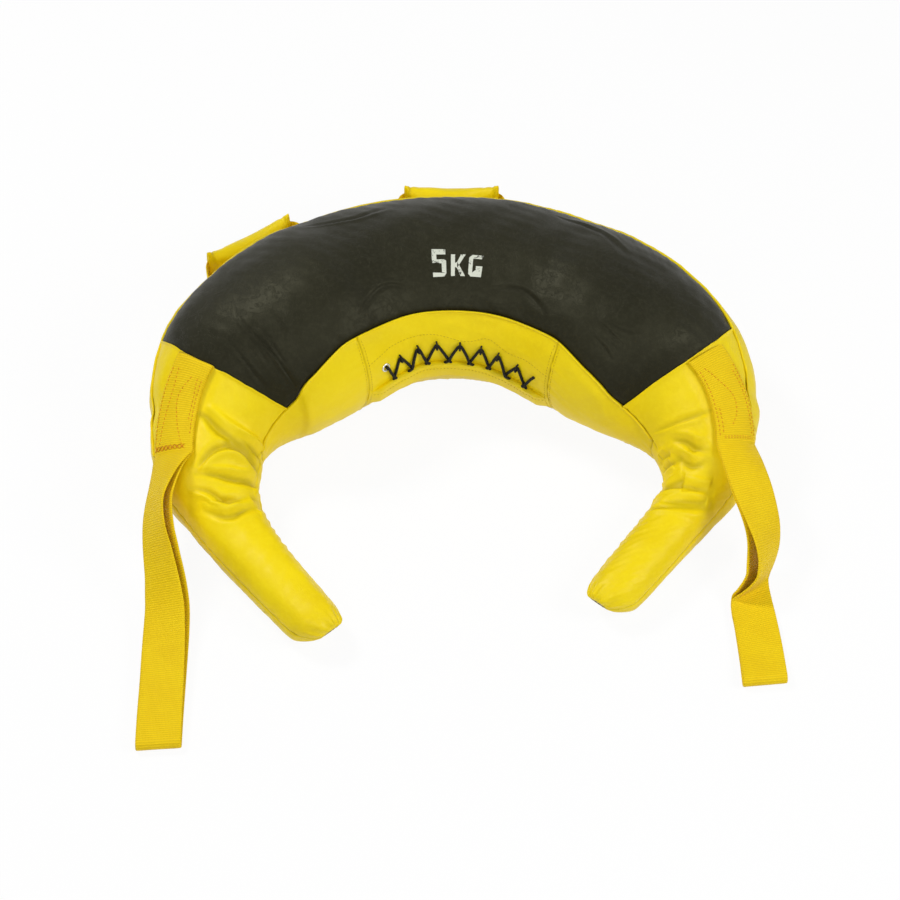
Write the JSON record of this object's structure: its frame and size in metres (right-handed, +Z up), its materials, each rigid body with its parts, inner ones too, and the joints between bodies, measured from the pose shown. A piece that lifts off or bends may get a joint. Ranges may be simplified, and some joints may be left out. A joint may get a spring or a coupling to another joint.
{
  "type": "bulgarian bag",
  "caption": "Filled crescent training bag with black top panel, yellow skin, two horns, laced inner wall, sling straps and padded hand grips.",
  "frame": {"origin": "on the floor, under the middle of the arc, where the bag's flat underside rests", "axes": "+Z up from the floor; +Y towards the outside of the arc, where the centre hand grip is; the two horns point to -Y; +X to the right seen from the horns"},
  "size_m": [0.6033, 0.5887, 0.171],
  "materials": {
    "black_leather": "semi-gloss grained synthetic leather, olive black",
    "yellow_leather": "semi-gloss smooth synthetic leather, bright yellow",
    "yellow_webbing": "ribbed woven webbing, orange yellow",
    "lace_cord": "round braided cord, black",
    "eyelet_metal": "bright plated",
    "cap_leather": "matt black synthetic leather",
    "wadding": "packed textile wadding, matt",
    "sand_cloth": "woven cloth of the sand bag, matt",
    "foam": "closed-cell foam, matt"
  },
  "bodies": {
    "bag": {"top_panel": "black_leather", "outer_panel": "yellow_leather", "bottom_panel": "yellow_leather", "inner_left_panel": "yellow_leather", "inner_right_panel": "yellow_leather", "inner_upper_flap": "yellow_leather", "lace_tongue": "yellow_leather", "inner_lower_flap": "yellow_leather", "left_horn_top_panel": "yellow_leather", "left_horn_bottom_panel": "yellow_leather", "right_horn_top_panel": "yellow_leather", "right_horn_bottom_panel": "yellow_leather", "left_end_cap": "cap_leather", "right_end_cap": "cap_leather", "centre_filling": "wadding", "left_filling": "wadding", "right_filling": "wadding", "weight_bag": "sand_cloth", "left_horn_core": "foam", "right_horn_core": "foam", "lace": "lace_cord", "lace_keeper_1": "lace_cord", "lace_keeper_2": "lace_cord", "lace_keeper_3": "lace_cord", "lace_keeper_4": "lace_cord", "lace_keeper_5": "lace_cord", "lace_keeper_6": "lace_cord", "lace_keeper_7": "lace_cord", "lace_eyelet": "eyelet_metal", "left_strap_tail": "yellow_webbing", "right_strap_tail": "yellow_webbing", "left_anchor_a": "yellow_webbing", "left_anchor_b": "yellow_webbing", "centre_anchor_a": "yellow_webbing", "centre_anchor_b": "yellow_webbing", "right_anchor_a": "yellow_webbing", "right_anchor_b": "yellow_webbing"},
    "left_strap": {"left_strap_loop": "yellow_webbing"},
    "right_strap": {"right_strap_loop": "yellow_webbing"},
    "left_grip": {"left_grip_sleeve": "yellow_leather", "left_grip_foam": "foam", "left_grip_band": "yellow_webbing"},
    "centre_grip": {"centre_grip_sleeve": "yellow_leather", "centre_grip_foam": "foam", "centre_grip_band": "yellow_webbing"},
    "right_grip": {"right_grip_sleeve": "yellow_leather", "right_grip_foam": "foam", "right_grip_band": "yellow_webbing"}
  },
  "joints": [
    {"name": "left_strap_lift", "type": "hinge", "parent": "bag", "child": "left_strap", "pos_m": [-0.25501, -0.2028, 0.08066], "axis": [-0.8518, 0.2283, -0.4714], "range_deg": [0, 100]},
    {"name": "right_strap_lift", "type": "hinge", "parent": "bag", "child": "right_strap", "pos_m": [0.26296, -0.18396, 0.07145], "axis": [-0.8605, -0.3126, 0.4024], "range_deg": [0, 100]},
    {"name": "left_grip_swing", "type": "hinge", "parent": "bag", "child": "left_grip", "pos_m": [-0.17689, 0.02891, 0.07726], "axis": [0.8307, 0.5567, 0.0007], "range_deg": [-35, 35], "stiffness_Nm_per_rad": 0.6},
    {"name": "centre_grip_swing", "type": "hinge", "parent": "bag", "child": "centre_grip", "pos_m": [-0.00063, 0.08511, 0.0808], "axis": [1, 0.0001, -0.0038], "range_deg": [-35, 35], "stiffness_Nm_per_rad": 0.6},
    {"name": "right_grip_swing", "type": "hinge", "parent": "bag", "child": "right_grip", "pos_m": [0.17176, 0.02695, 0.05014], "axis": [0.8449, -0.5349, -0.0009], "range_deg": [-35, 35], "stiffness_Nm_per_rad": 0.6}
  ]
}
